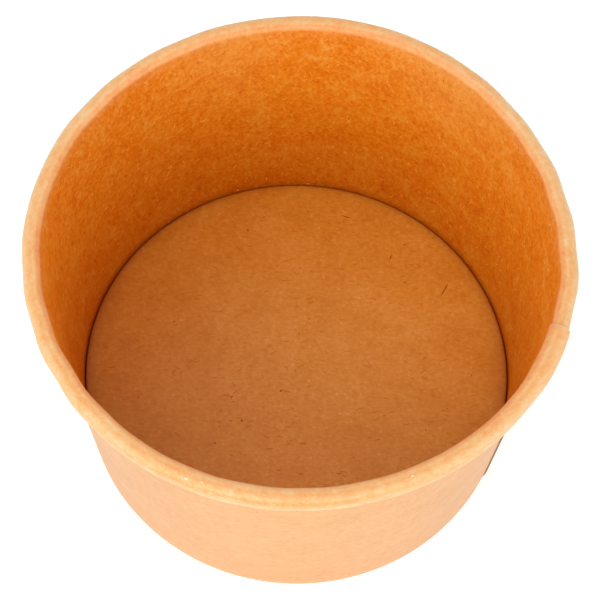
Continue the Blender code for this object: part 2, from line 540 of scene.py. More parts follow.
    def flat_place(self, turned: np.ndarray, run: np.ndarray, bare: bool) -> np.ndarray:
        """Place on the flat blank of points on the sheet.

        A cone rolls out into a fan. With a the wall's lean, a point that lies t round
        the sheet and s from the fan's tip is at (s sin(t sin a), s cos(t sin a)).

        Args:
            turned: angles round from the inner end, any shape.
            run: length of board at the same points.
            bare: True on the bare face, where the lap shows the other end of the sheet.

        Returns:
            The two coordinates on the blank, in metres, on a new last axis.
        """
        s = self.sizes
        round_sheet = turned + (math.tau - s.outer_end)
        if bare:
            round_sheet = np.where(turned > s.outer_end, turned - s.outer_end, round_sheet)
        angle = (round_sheet - math.pi) * math.sin(s.lean)
        reach = s.base_radius / math.sin(s.lean) + run
        return np.stack([reach * np.sin(angle), reach * np.cos(angle)], axis=-1)

    def corner_places(self, section: Section, turned: np.ndarray) -> np.ndarray:
        """Place on the flat blank of the four corners of every face.

        A bare face across the outer end of the sheet lies on the layer that its middle is on.

        Args:
            section: stations of the board's middle.
            turned: how far round each column lies.

        Returns:
            Coordinates, shaped columns by stations by corners by 2.
        """
        run = np.concatenate([section.run, section.run[::-1]])
        run_up, ahead = np.roll(run, -1), np.append(turned[1:], math.tau)
        shape = (len(turned), len(run), 4)
        round_tub = np.stack([turned, turned, ahead, ahead], axis=-1)[:, None]
        up_board = np.stack([run, run_up, run_up, run], axis=-1)[None]
        corner_turned = np.broadcast_to(round_tub, shape)
        corner_run = np.broadcast_to(up_board, shape)
        end = self.sizes.outer_end
        bare_turned = np.where(
            corner_turned.mean(axis=-1, keepdims=True) > end,
            np.maximum(corner_turned, end + TINY_TURN), np.minimum(corner_turned, end),
        )
        is_bare = (np.arange(len(run)) >= len(section.run))[None, :, None, None]
        return np.where(
            is_bare, self.flat_place(bare_turned, corner_run, True),
            self.flat_place(corner_turned, corner_run, False),
        )

    def build(self) -> bpy.types.Object:
        """Joins the lined and the bare face into one closed sheet.

        Each column is a ring: up the lined face, over the tucked end, down the bare
        face and back over the hem's end. Rings that follow each other are joined by quads.
        """
        section, turned = self.section(), self.turns()
        azimuth = self.sizes.inner_end + turned
        lined_lift, lined_push, bare_lift, bare_push = self.lap_of(turned)
        lined = self.face_grid(section, azimuth, 1.0, lined_lift, lined_push)
        bare = self.face_grid(section, azimuth, -1.0, bare_lift, bare_push)
        rings = np.concatenate([lined, bare[:, ::-1]], axis=1)
        number, quads = grid_quads(*rings.shape[:2])
        half = len(section.run)
        slots = np.full(number.shape, BoardFace.LINED.value)
        slots[:, half:] = BoardFace.BARE.value
        slots[:, [half - 1, -1]] = BoardFace.CUT.value
        uv = self.corner_places(section, turned)
        piece = mesh_piece("tub_side_wall", rings, quads, slots, uv)
        self.add_shares(piece, section, turned)
        return piece

    def seal_stain_and_shade_share(self, height: np.ndarray, back: np.ndarray) -> np.ndarray:
        """Painted shade at the wall's foot, partly the seal's stain: a dark line over a wider
        shade, both level * exp(-h / width).
        """
        above = np.maximum(height - self.sizes.floor_height, 0.0)
        level = self.seal_shade_level * (1.0 - self.seal_shade_fading * back)
        line = level * np.exp(-above / (self.seal_shade_width * (1.0 - self.seal_shade_narrowing * back)))
        # The wider painted shade, strongest at the front.
        glow = self.foot_shade_level * np.clip(1.0 - back, 0.0, 1.0)
        return line + glow * np.exp(-above / self.foot_shade_width)

    def painted_rim_light(self, along: np.ndarray, back: np.ndarray) -> np.ndarray:
        """Painted light on the rolled rim: how much paler than its usual tone it is drawn, by the
        way along the curl.

        The lip is painted paler at the back and darker at the front, the crest gets a painted
        highlight at the front, and the flanks of the back, 4 b (1 - b) with b the back, are painted
        paler all over.
        """
        behind, front = np.clip(back, 0.0, 1.0), np.clip(-back, 0.0, 1.0) ** self.front_power
        flank = 4.0 * behind * (1.0 - behind)
        at_lip = self.lip_light_shift * (behind - front) + self.flank_lip_light_shift * flank
        at_crest = self.crest_highlight_shift * front * self.crest.at(along)
        return at_lip * self.lip.at(along) + at_crest + self.flank_light_shift * flank

    def edge_line(self, turned: np.ndarray, middle: float, core: float, slope: float) -> np.ndarray:
        """A line along a cut end: one at its core, then easing out. Core is in edge runs."""
        away = np.abs(middle - turned * self.sizes.middle_radius) / self.edge_run
        return 1.0 - smooth_step((away - core) * slope)

    def add_shares(self, piece: bpy.types.Object, section: Section, turned: np.ndarray) -> None:
        """Stores what the finishes need to know of each vertex.

        rolled_rim is 1 on the rim, along_curl runs from 0 just inside the rim's top to 1
        at the tucked end, depth_in_tub from 0 at the rim to 1 at the foot, and sheet_end
        is 1 at the cut ends. seal_stain_and_shade is the painted shade at the wall's foot, partly
        the seal's stain, pale_lining_patches the paler patches high up at the back of the lining,
        and curl_painted_light the painted light on the rim's tone.

        Args:
            piece: the finished wall.
            section: stations of the board's middle.
            turned: how far round each column lies.
        """
        s, run = self.sizes, section.run[None, :]
        height = section.points[None, :, 1]
        top = section.run[np.argmax(height)]
        risen = smooth_step((height - (s.height - self.rim_start)) / self.rim_ease)
        rim = np.where(run > top, 1.0, risen)
        lead = top - self.curl_lead
        along = np.clip((run - lead) / (run[0, -1] - lead), 0.0, 1.0)
        depth = np.clip(1.0 - height / s.height, 0.0, 1.0)
        azimuth = s.inner_end + turned[:, None]
        back = np.sin(azimuth)
        pale_patch = sum(patch.at(np.degrees(azimuth)) for patch in self.pale_patches)
        shift = self.painted_rim_light(along, back)
        inner_middle = math.tau * s.middle_radius - 0.9 * self.edge_run
        outer_middle = s.outer_end * s.middle_radius + 0.5 * self.edge_run
        inner_edge = self.edge_line(turned[:, None], inner_middle, core=0.15, slope=3.0)
        outer_edge = self.edge_line(turned[:, None], outer_middle, core=0.35, slope=2.5)
        whole = np.ones((len(turned), len(section.run)))
        for name, lined, bare in (
            ("rolled_rim", rim, rim), ("seal_stain_and_shade", self.seal_stain_and_shade_share(height, back), 0.0),
            ("along_curl", along, along), ("depth_in_tub", depth, depth),
            ("pale_lining_patches", pale_patch * self.pale_patch_depth.at(depth), 0.0),
            ("curl_painted_light", shift, shift), ("sheet_end", inner_edge, outer_edge),
        ):
            add_share(piece, name, np.concatenate([whole * lined, (whole * bare)[:, ::-1]], axis=1))


@dataclass
class BottomDisc:
    """The base: a flat floor, a rounded shoulder and a short skirt down to its foot."""

    sizes: TubSizes
    out_of_round: OutOfRound = field(default_factory=OutOfRound)
    columns: int = 480
    sag: float = 0.03 * MM
    wall_gap: float = 0.06 * MM
    shoulder: float = 0.36 * MM
    edge_rings: tuple[float, ...] = (2.2 * MM, 1.0 * MM, 0.6 * MM, 0.35 * MM)
    wave_power: int = 4
    # Painted shade in the crease round the floor's edge, partly the seal's stain: a dark line that
    # is weaker at the front, over a wider painted shade that is strongest at the front.
    seal_shade_level: float = 0.95
    seal_shade_side_loss: float = 0.05
    seal_shade_front_loss: float = 0.7
    seal_shade_width: float = 0.7 * MM
    seal_shade_narrowing: float = 0.25
    foot_shade_level: float = 0.19
    foot_shade_width: float = 3.4 * MM
    # Strength of the painted shade towards the floor's two front corners.
    corner_shade_gain: float = 3.0

    def section(self) -> Section:
        """The middle of the disc's board, from the axis out to the foot of the skirt."""
        s = self.sizes
        level = s.floor_height - s.disc_board / 2
        depth = s.wall_board + self.wall_gap + s.disc_board / 2
        edge = s.on_slope(depth, level)[0]
        return Section([
            Corner((0.0, level)), *(Corner((edge - inward, level)) for inward in self.edge_rings),
            Corner((edge, level), self.shoulder - s.disc_board / 2),
            Corner(s.on_slope(depth, s.skirt_foot)),
        ], arc_step=math.radians(11.0), straight_step=1.9 * MM)

    def build(self) -> bpy.types.Object:
        """Spins the section into a closed disc.

        A ring of each face carries the same azimuths. The centre of each face is a
        small ring of its own, closed by a cap of quads that share one middle point. With
        r the distance from the axis and R the base's radius, the floor bows down by
        sag * (1 - r ** 2 / R ** 2), and the wall's waves fade inwards as (r / R) ** power.
        """
        section, s = self.section(), self.sizes
        half = s.disc_board / 2
        upper = section.points + section.normals * half
        under = (section.points - section.normals * half)[::-1]
        profile = np.concatenate([upper[1:], under[:-1]])
        azimuth = np.linspace(0.0, math.tau, self.columns, endpoint=False)
        radius, height = profile[:, 0][None, :], profile[:, 1][None, :]
        share = radius / s.base_radius
        bow = self.sag * (1.0 - share ** 2) * (height > s.floor_height - s.disc_board)
        waves = self.out_of_round.at_rim(azimuth)[:, None] * height / s.height
        radius = radius + waves * share ** self.wave_power
        number, quads = grid_quads(*radius.shape)
        centres = np.array([[0.0, 0.0, z - self.sag] for z in (upper[0, 1], under[-1, 1])])
        top_cap = ring_cap(number[:, 0], number.size)
        under_cap = ring_cap(number[:, -1], number.size + 1)[:, [0, 3, 2, 1]]
        points = np.concatenate([spun(radius, azimuth, height - bow).reshape(-1, 3), centres])
        faces = np.concatenate([quads[:, :-1].reshape(-1, 4), top_cap, under_cap])
        piece = mesh_piece("tub_bottom_disc", points, faces)
        self.add_shares(piece, points[:, 0], points[:, 1])
        return piece

    def add_shares(self, piece: bpy.types.Object, x: np.ndarray, y: np.ndarray) -> None:
        """Stores what the floor's finish needs to know of each vertex.

        seal_stain_and_shade is painted shade in the crease round the edge, partly the seal's stain:
        a narrow line over a wider painted shade, both level * exp(-d / width) at d from the edge.
        toward_edge grows as r ** 2 / R ** 2, and front_corner_shade, the painted shade of the front
        corners, as |x y| / R ** 2 in the front half.

        Args:
            piece: the finished disc.
            x: X of each vertex.
            y: Y of each vertex.
        """
        s, full = self.sizes, self.sizes.base_radius
        edge = s.on_slope(s.wall_board + self.wall_gap, s.floor_height)[0]
        inward = np.maximum(edge - np.hypot(x, y), 0.0)
        back, front = y / full, np.maximum(-y, 0.0) / full
        level = self.seal_shade_level - self.seal_shade_side_loss * np.abs(back) - self.seal_shade_front_loss * front
        line = level * np.exp(-inward / (self.seal_shade_width * (1.0 - self.seal_shade_narrowing * back)))
        glow = self.foot_shade_level * (1.0 - back) * np.exp(-inward / self.foot_shade_width)
        add_share(piece, "seal_stain_and_shade", line + glow * (1.0 - line))
        # toward_edge drives the painted shade that yellows the floor towards its edge.
        add_share(piece, "toward_edge", (x ** 2 + y ** 2) / full ** 2)
        add_share(piece, "front_corner_shade", self.corner_shade_gain * np.abs(x) / full * front)


@dataclass(frozen=True)
class Fleck:
    """One bit of fibre, bark or filler that lies pressed into a face of the board.

    Across and along are its place: x and y on the floor, or on the wall the azimuth in
    degrees and the run of board from the free end of the hem. Lengths are in
    millimetres and the angle, from the first way to the second, is in degrees.
    """

    across: float
    along: float
    length: float
    width: float
    angle: float
    bend: float = 0.0


@dataclass(frozen=True)
class Scatter:
    """Seeded flecks, even over a rectangle of places, with lengths that vary by half.

    Across and along are the least and the greatest place, size the mean length and
    width, and angle the mean angle and its spread.
    """

    count: int
    across: Pair
    along: Pair
    size: Pair
    seed: int
    angle: Pair = (0.0, 90.0)
    bend: float = 0.12

    def flecks(self) -> tuple[Fleck, ...]:
        """Draws the flecks, each with its place, its length, its width, its angle and its bend."""
        draw = np.random.default_rng(self.seed).uniform
        length, width = self.size
        middle, spread = self.angle
        return tuple(
            Fleck(float(draw(*self.across)), float(draw(*self.along)),
                  length * draw(0.5, 1.5), width * draw(0.7, 1.2),
                  middle + spread * draw(-1.0, 1.0), self.bend * length * draw(-1.0, 1.0))
            for _ in range(self.count)
        )


def fleck_bodies(
    name: str, flecks: tuple[Fleck, ...], middles: np.ndarray, first: np.ndarray, second: np.ndarray
) -> bpy.types.Object:
    """Draws flecks as small flattened fibres that taper to both ends, each on its own flat patch.

    With t from -1 to 1 along a fleck, its middle line is t * length / 2 along the
    fleck plus bend * (1 - t * t) to its side, and its half width is
    width / 2 * sqrt(1 - t * t). Its relief is a share of its width, and half of
    that is sunk in the board.

    Args:
        name: the piece's name.
        flecks: the flecks.
        middles: the middle of each fleck, on the face.
        first: unit vector of the first way along the face, at each fleck.
        second: unit vector of the second way along the face, at each fleck.

    Returns:
        One mesh with a closed body for each fleck.
    """
    table = np.array([
        (f.length * MM, f.width * MM, math.radians(f.angle), f.bend * MM) for f in flecks
    ])
    length, width, angle, bend = table.T[..., None]
    along = first * np.cos(angle) + second * np.sin(angle)
    side, normal = second * np.cos(angle) - first * np.sin(angle), np.cross(first, second)
    t = np.linspace(-FLECK_TIP, FLECK_TIP, FLECK_STATIONS)[None, :]
    spine = middles[:, None] + along[:, None] * (length * t / 2)[..., None]
    spine = spine + side[:, None] * (bend * (1 - t * t))[..., None]
    half = (width / 2 * np.sqrt(1 - t * t))[..., None]
    around = np.arange(FLECK_SIDES) * math.tau / FLECK_SIDES
    points = (
        spine[:, :, None] + side[:, None, None] * (half * np.cos(around))[..., None]
        + normal[:, None, None] * (half * FLECK_RELIEF * 2 * np.sin(around))[..., None]
    )
    number = np.arange(points.size // 3).reshape(points.shape[:3])
    ahead = np.roll(number, -1, axis=2)
    skin = np.stack([number[:, :-1], ahead[:, :-1], ahead[:, 1:], number[:, 1:]], axis=-1)
    start, end = number[:, 0], number[:, -1]
    caps = [start[:, [0, 3, 2, 1]], start[:, [0, 5, 4, 3]]]
    caps += [end[:, [0, 1, 2, 3]], end[:, [0, 3, 4, 5]]]
    return mesh_piece(name, points, np.concatenate([skin.reshape(-1, 4), *caps]))


@dataclass
class PressedFlecks:
    """Places flecks on the floor of the disc and on the lined face of the wall."""

    wall: SideWall
    disc: BottomDisc

    def on_floor(self, name: str, flecks: tuple[Fleck, ...]) -> bpy.types.Object:
        """Builds a piece of flecks on the bowed floor, whose ways are X and Y."""
        x, y = np.array([(f.across * MM, f.along * MM) for f in flecks]).T
        s = self.disc.sizes
        height = s.floor_height - self.disc.sag * (1.0 - (np.hypot(x, y) / s.base_radius) ** 2)
        ways = np.broadcast_to(np.eye(3)[:, None, :], (3, len(x), 3))
        return fleck_bodies(name, flecks, np.stack([x, y, height], axis=1), ways[0], ways[1])

    def on_lined_face(self, name: str, flecks: tuple[Fleck, ...]) -> bpy.types.Object:
        """Builds a piece of flecks on the wall's lined face and the rim.

        The first way is round the tub and the second runs on along the board. A place
        between two stations is a mean of the two, and the lap's lift is that of the
        nearest column.
        """
        section = self.wall.section()
        azimuth = np.array([math.radians(f.across) for f in flecks])
        run = np.array([f.along * MM for f in flecks])
        turned = np.mod(azimuth - self.wall.sizes.inner_end, math.tau)
        lift, push, _, _ = self.wall.lap_of(turned)
        grid = self.wall.face_grid(section, azimuth, 1.0, lift, push)
        after = np.clip(np.searchsorted(section.run, run), 1, len(section.run) - 1)
        rows = np.arange(len(run))
        low, high = grid[rows, after - 1], grid[rows, after]
        span = section.run[after] - section.run[after - 1]
        share = ((run - section.run[after - 1]) / span)[:, None]
        second = (high - low) / np.linalg.norm(high - low, axis=1)[:, None]
        first = np.stack([np.sin(azimuth), -np.cos(azimuth), np.zeros(len(run))], axis=1)
        return fleck_bodies(name, flecks, low * (1 - share) + high * share, first, second)


@dataclass(frozen=True)
class Tones:
    """Three hex colours of one board: its dark places, its body and its light places."""

    dark: str
    body: str
    light: str

    def coloured(self, tree: Tree, tone: Socket) -> Socket:
        """Turns a tone into a colour, from the dark through the body's to the light."""
        return ramp(tree, tone, ((0.0, self.dark), (0.5, self.body), (1.0, self.light)))


@dataclass(frozen=True)
class Mottle:
    """One size of unevenness in the board: soft patches, drawn out the way that the pulp ran."""

    size: float
    amount: float
    stretch: float = 1.0
    angle: float = 0.0
    detail: float = 2.0
    roughness: float = 0.6
    distortion: float = 0.3


@dataclass(frozen=True)
class Specks:
    """Small dots where a noise falls below a level: bark or pale filler, by their tone's sign."""

    size: float
    tone: float
    level: float = 0.33
    seed: float = 0.0
    fade: float = 0.08

    def over(self, tree: Tree, place: Socket, tone: Socket) -> Socket:
        """Adds the dots to a tone."""
        moved = laid_out(tree, place, (-self.seed, self.seed))
        noise = flat_noise(tree, moved, Scale=0.5 / self.size, Detail=0.0)
        limits = {"From Min": self.level, "From Max": self.level - self.fade}
        spot = ranged(tree, noise, limits, interpolation_type="SMOOTHSTEP")
        return maths(tree, "MULTIPLY_ADD", spot, self.tone, tone)


@dataclass(frozen=True)
class Fibres:
    """One lay of fibres in the board: thin wavy lines of one way, broken into short lengths."""

    angle: float
    length: float
    width: float
    tone: float
    cover: float
    seed: float
    line: float = 0.07
    fade: float = 0.08

    def over(self, tree: Tree, place: Socket, tone: Socket) -> Socket:
        """Adds the fibres to a tone.

        With n a noise drawn out along the fibre, a line is 1 - |n - 0.5| / line, held
        above zero, and a second noise cuts the lines into lengths.
        """
        shift, size = (self.seed, self.seed * 1.7), (self.length, self.width)
        turned = laid_out(tree, place, shift, size, self.angle)
        noise = flat_noise(tree, turned, Scale=0.5, Detail=1.0, Roughness=0.5, Distortion=0.6)
        away = maths(tree, "ABSOLUTE", maths(tree, "SUBTRACT", noise, 0.5))
        line = ranged(tree, away, {"From Max": self.line, "To Min": 1.0, "To Max": 0.0})
        cut = flat_noise(tree, turned, Scale=1.3, Detail=0.0)
        bare = 1.0 - self.cover
        kept = ranged(tree, cut, {"From Min": bare, "From Max": bare + self.fade})
        return maths(tree, "MULTIPLY_ADD", maths(tree, "MULTIPLY", line, kept), self.tone, tone)


@dataclass(frozen=True)
class KraftFinish:
    """Unbleached kraft paperboard, calendered: brown wood fibres matted in every direction.

    The eye sees an even brown with soft clouds where the pulp is thicker, a fine
    mottle of single fibres, a few pale long fibres and scattered dark specks of bark.
    Sizes are in millimetres.
    """

    name: str
    tones: Tones
    roughness: float
    mottles: tuple[Mottle, ...]
    fibres: tuple[Fibres, ...] = ()
    specks: tuple[Specks, ...] = ()
    bump: float = 0.25
    coordinates: str = "Object"
    specular: float = 0.5
    fuzz: float = 0.0

    def mottled(self, tree: Tree, place: Socket, mottles: tuple[Mottle, ...]) -> Socket:
        """Adds up sizes of mottle: 0.5 plus the sum of amount * (noise - 0.5).

        Args:
            tree: the material's node tree.
            place: place on the board in millimetres.
            mottles: the sizes of unevenness.

        Returns:
            The socket with the tone, 0.5 at the board's plain body colour.
        """
        tone: Socket | float = 0.5 - sum(mottle.amount for mottle in mottles) / 2
        for count, mottle in enumerate(mottles):
            size = (mottle.size * mottle.stretch, mottle.size)
            spread = laid_out(tree, place, (9.3 * count, 4.1 * count), size, mottle.angle)
            noise = flat_noise(
                tree, spread, Scale=1.0, Detail=mottle.detail, Roughness=mottle.roughness,
                Distortion=mottle.distortion,
            )
            tone = maths(tree, "MULTIPLY_ADD", noise, mottle.amount, tone)
        return tone

    def dress(self) -> bpy.types.Material:
        """Makes the material: the tone of its mottle, fibres and specks, as colour and relief."""
        material = bpy.data.materials.new(self.name)
        material.use_nodes = True
        tree = material.node_tree
        source = add_node(tree, "ShaderNodeTexCoord").outputs[self.coordinates]
        place = add_node(
            tree, "ShaderNodeVectorMath", {0: source, "Scale": 1.0 / MM}, operation="SCALE"
        ).outputs["Vector"]
        tone = self.mottled(tree, place, self.mottles)
        for layer in self.fibres + self.specks:
            tone = layer.over(tree, place, tone)
        self.finish_shader(tree, tone, self.over(tree, place, self.tones.coloured(tree, tone)))
        return material

    def over(self, tree: Tree, place: Socket, colour: Socket) -> Socket:
        """Colour with whatever lies over the plain board: nothing here."""
        return colour

    def finish_shader(self, tree: Tree, tone: Socket, colour: Socket) -> None:
        """Sets the board's gloss and its fine relief, and links its colour."""
        shader = tree.nodes["Principled BSDF"]
        shader.inputs["Roughness"].default_value = self.roughness
        shader.inputs["Specular IOR Level"].default_value = self.specular
        shader.inputs["Sheen Roughness"].default_value = SHEEN_ROUGHNESS
        self.fuzz_on(tree, shader.inputs["Sheen Weight"])
        relief = {"Height": tone, "Strength": self.bump, "Distance": RELIEF_DEPTH}
        normal = add_node(tree, "ShaderNodeBump", relief).outputs["Normal"]
        tree.links.new(colour, shader.inputs["Base Color"])
        tree.links.new(normal, shader.inputs["Normal"])

    def fuzz_on(self, tree: Tree, weight: Socket) -> None:
        """Sets how much the raised fibres pale the board where it is seen along its face."""
        weight.default_value = self.fuzz


@dataclass(frozen=True)
class WallFinish(KraftFinish):
    """A face of the side wall, with the rolled rim's paler colour, partly painted sheen, and the
    cut ends.
    """

    # The rolled rim's colours: paler than the lining, partly the board's own colour and partly
    # painted sheen.
    rim: Tones = Tones("#FC8A46", "#FFC07E", "#FFE6BC")
    rim_mottles: tuple[Mottle, ...] = (
        Mottle(4.5, 0.3, stretch=2.0), Mottle(1.2, 0.42, stretch=1.6),
        Mottle(0.45, 0.36, stretch=1.6),
    )
    # Painted light along the curl: grey levels that give a painted highlight near the inner edge
    # and another along the curl's lower edge, with darker bands between.
    curl_light_levels: tuple[Pair, ...] = (
        (0.0, 0.48), (0.05, 0.42), (0.08, 0.29), (0.10, 0.33), (0.13, 0.50), (0.16, 0.50),
        (0.20, 0.43), (0.26, 0.55), (0.29, 0.62), (0.33, 0.64), (0.35, 0.60), (0.38, 0.54),
        (0.42, 0.54), (0.47, 0.58), (0.53, 0.62), (0.58, 0.68), (0.62, 0.70), (0.66, 0.56),
        (1.0, 0.50),
    )
    # Painted shade down the tub: colours that multiply the board from the rim down to the foot.
    depth_shade_stops: tuple[tuple[float, str], ...] = ((0.0, "#FFFFFF"), (1.0, "#FFFFFF"))
    pale_patch: str = "#FFD070"
    # Colour of the painted crease shade, which is partly the seal's stain.
    seal_stain_and_shade_colour: str = "#8E1604"
    # Colour along the sheet's cut ends. The outer face takes a dark brown instead, a painted shadow
    # under the lap's edge.
    end: str = "#FFE0BE"
    rim_fuzz: float = 0.2

    def fuzz_on(self, tree: Tree, weight: Socket) -> None:
        """Raises the fibres on the rolled rim, where no lining holds them down."""
        limits = {"To Min": self.fuzz, "To Max": self.rim_fuzz}
        tree.links.new(ranged(tree, stored_share(tree, "rolled_rim"), limits), weight)

    def over(self, tree: Tree, place: Socket, colour: Socket) -> Socket:
        """Lays over the board the painted shade down the tub, its paler patches, the painted crease
        shade with the seal's stain, the rolled rim and the cut ends.

        The colour darkens down the tub as painted shade. The rim's board is paler, partly its own
        colour and partly painted sheen, and its tone follows painted light along the curl, up to a
        painted highlight line along the curl's lower edge.

        Args:
            tree: the material's node tree.
            place: place on the board in millimetres.
            colour: colour of the plain board.

        Returns:
            The socket with the colour.
        """
        # Painted shade: the board darkens and deepens down the tub.
        depth = ramp(tree, stored_share(tree, "depth_in_tub"), self.depth_shade_stops)
        depth_shaded = mixed(tree, 1.0, colour, depth, "MULTIPLY")
        # Paler patches high up at the back of the lining.
        pale_patch = mixed(tree, "pale_lining_patches", depth_shaded, self.pale_patch)
        seal_stain_and_shade_colour = mixed(tree, "seal_stain_and_shade", pale_patch, self.seal_stain_and_shade_colour)
        # The rim's painted light: its levels along the curl, plus its painted light by the side of
        # the tub.
        greys = tuple((at, (level, level, level, 1.0)) for at, level in self.curl_light_levels)
        level = ramp(tree, stored_share(tree, "along_curl"), greys)
        lit_curl_level = maths(tree, "ADD", level, stored_share(tree, "curl_painted_light"))
        lifted = maths(tree, "ADD", self.mottled(tree, place, self.rim_mottles), lit_curl_level)
        curl = self.rim.coloured(tree, maths(tree, "SUBTRACT", lifted, 0.5))
        rolled = mixed(tree, "rolled_rim", seal_stain_and_shade_colour, curl)
        return mixed(tree, "sheet_end", rolled, self.end)


@dataclass(frozen=True)
class BaseFinish(KraftFinish):
    """The bottom disc's board, with painted shade towards its edge and front corners, and a dark
    edge of painted crease shade that is partly the seal's stain.
    """

    # Painted shade: the floor yellowed and dimmed towards its edge, and darkened towards its two
    # front corners.
    edge_shade_tint: str = "#FCF4C8"
    corner_shade_tint: str = "#F0F3DC"
    # Colour of the painted crease shade, which is partly the seal's stain.
    seal_stain_and_shade_colour: str = "#8E1604"

    def over(self, tree: Tree, place: Socket, colour: Socket) -> Socket:
        """Yellows and darkens the board towards its edge and front corners as painted shade, and
        lays over it the dark edge of painted crease shade, partly the seal's stain.
        """
        edge_shaded = mixed(tree, "toward_edge", colour, self.edge_shade_tint, "MULTIPLY")
        corner_shaded = mixed(tree, "front_corner_shade", edge_shaded, self.corner_shade_tint, "MULTIPLY")
        return mixed(tree, "seal_stain_and_shade", corner_shaded, self.seal_stain_and_shade_colour)


def stand_facing(
    name: str, data: bpy.types.ID, aim: tuple[float, float, float], distance: float,
    turn: float, elevation: float, roll: float = 0.0,
) -> bpy.types.Object:
    """Puts a lamp or a camera in the scene, so that it faces its aim.

    Args:
        name: the object's name.
        data: the lamp or the camera.
        aim: the point that it faces.
        distance: how far from the aim it stands.
        turn: turn t about Z, in radians.
        elevation: angle e above the level. It stands along (sin t cos e, -cos t cos e, sin e).
        roll: turn about its own line of sight.

    Returns:
        The object.
    """
    holder = bpy.data.objects.new(name, data)
    holder.matrix_world = (
        Matrix.Translation(aim) @ Matrix.Rotation(turn, 4, "Z")
        @ Matrix.Rotation(math.pi / 2 - elevation, 4, "X") @ Matrix.Rotation(roll, 4, "Z")
        @ Matrix.Translation((0.0, 0.0, distance))
    )
    bpy.context.scene.collection.objects.link(holder)
    return holder


@dataclass(frozen=True)
class Lamp:
    """A soft square lamp that faces the tub, in degrees, metres and watts."""

    name: str
    azimuth: float
    elevation: float
    power: float
    distance: float = 0.8
    size: float = 0.6
    aim_height: float = 0.03

    def build(self) -> None:
        """Puts the lamp at its azimuth, which is a quarter turn behind the turn that faces it."""
        light = bpy.data.lights.new(self.name, "AREA")
        light.shape, light.size, light.energy = "SQUARE", self.size, self.power
        stand_facing(
            self.name, light, (0.0, 0.0, self.aim_height), self.distance,
            math.radians(self.azimuth + 90.0), math.radians(self.elevation),
        )


@dataclass(frozen=True)
class Studio:
    """White floor, white surroundings, soft lamps and the camera at the photograph's angle."""

    elevation: float = math.radians(63.535)
    turn: float = math.radians(2.15)
    roll: float = math.radians(1.78)
    distance: float = 384.516 * MM
    aim: Pair = (0.236 * MM, 38.808 * MM)
    lens_pixels: float = 2131.099
    world_level: float = 0.53
    floor_reach: float = 1.5
    floor_grey: float = 0.86
    floor_glow: float = 0.48
    far_glow: float = 0.65
    glow_reach: Pair = (0.1, 0.5)
    lamps: tuple[Lamp, ...] = (
        Lamp("key_softbox", -120.0, 33.0, 2.5), Lamp("fill_softbox", -45.0, 20.0, 1.93),
        Lamp("side_softbox", 180.0, 50.0, 0.9), Lamp("rim_softbox", 58.0, 14.0, 0.8),
    )

    def camera(self) -> None:
        """Puts the camera where the photograph was taken from, aimed a little beside the axis."""
        lens = bpy.data.cameras.new("camera")
        lens.lens, lens.sensor_width = self.lens_pixels * SENSOR_MM / PICTURE_PIXELS, SENSOR_MM
        lens.clip_start, lens.clip_end = 0.01, 10.0
        beside, above = self.aim
        aim = (beside * math.cos(self.turn), beside * math.sin(self.turn), above)
        bpy.context.scene.camera = stand_facing(
            "camera", lens, aim, self.distance, self.turn, self.elevation, self.roll
        )

    def seen_share(self, tree: Tree) -> Socket:
        """One for what the camera, a gloss or a clear piece sees, else zero."""
        path = add_node(tree, "ShaderNodeLightPath").outputs
        seen = maths(tree, "MAXIMUM", path["Is Camera Ray"], path["Is Glossy Ray"])
        return maths(tree, "MAXIMUM", seen, path["Is Transmission Ray"])

    def surroundings(self) -> None:
        """White all round to the camera, and the studio's own level for the light that it gives."""
        world = bpy.data.worlds.new("white_studio")
        world.use_nodes = True
        bpy.context.scene.world = world
        tree = world.node_tree
        background = tree.nodes["Background"]
        background.inputs["Color"].default_value = (1.0, 1.0, 1.0, 1.0)
        level = ranged(tree, self.seen_share(tree), {"To Min": self.world_level, "To Max": 1.0})
        tree.links.new(level, background.inputs["Strength"])

    def floor(self) -> None:
        """A white paper floor that keeps the tub's soft shadow and otherwise shows as white."""
        mesh = bpy.data.meshes.new("studio_floor")
        signs = ((-1, -1), (1, -1), (1, 1), (-1, 1))
        corners = [(x * self.floor_reach, y * self.floor_reach, 0.0) for x, y in signs]
        mesh.from_pydata(corners, [], [(0, 1, 2, 3)])
        floor = bpy.data.objects.new("studio_floor", mesh)
        bpy.context.scene.collection.objects.link(floor)
        material = bpy.data.materials.new("white_matt_paper")
        material.use_nodes = True
        tree = material.node_tree
        shader = tree.nodes["Principled BSDF"]
        shader.inputs["Base Color"].default_value = (*[self.floor_grey] * 3, 1.0)
        shader.inputs["Roughness"].default_value = 0.9
        shader.inputs["Specular IOR Level"].default_value = 0.0
        place = add_node(tree, "ShaderNodeTexCoord").outputs["Object"]
        away = add_node(tree, "ShaderNodeVectorMath", {0: place}, operation="LENGTH")
        near, far = self.glow_reach
        level = ranged(tree, away.outputs["Value"], {
            "From Min": near, "From Max": far, "To Min": self.floor_glow, "To Max": self.far_glow,
        })
        glow = maths(tree, "MULTIPLY", self.seen_share(tree), level)
        shader.inputs["Emission Color"].default_value = (1.0, 1.0, 1.0, 1.0)
        tree.links.new(glow, shader.inputs["Emission Strength"])
        mesh.materials.append(material)

    def build(self) -> None:
        """Sets the view, the floor, the surroundings and the lamps."""
        bpy.context.scene.view_settings.view_transform = "Standard"
        self.camera()
        self.surroundings()
        self.floor()
        for lamp in self.lamps:
            lamp.build()


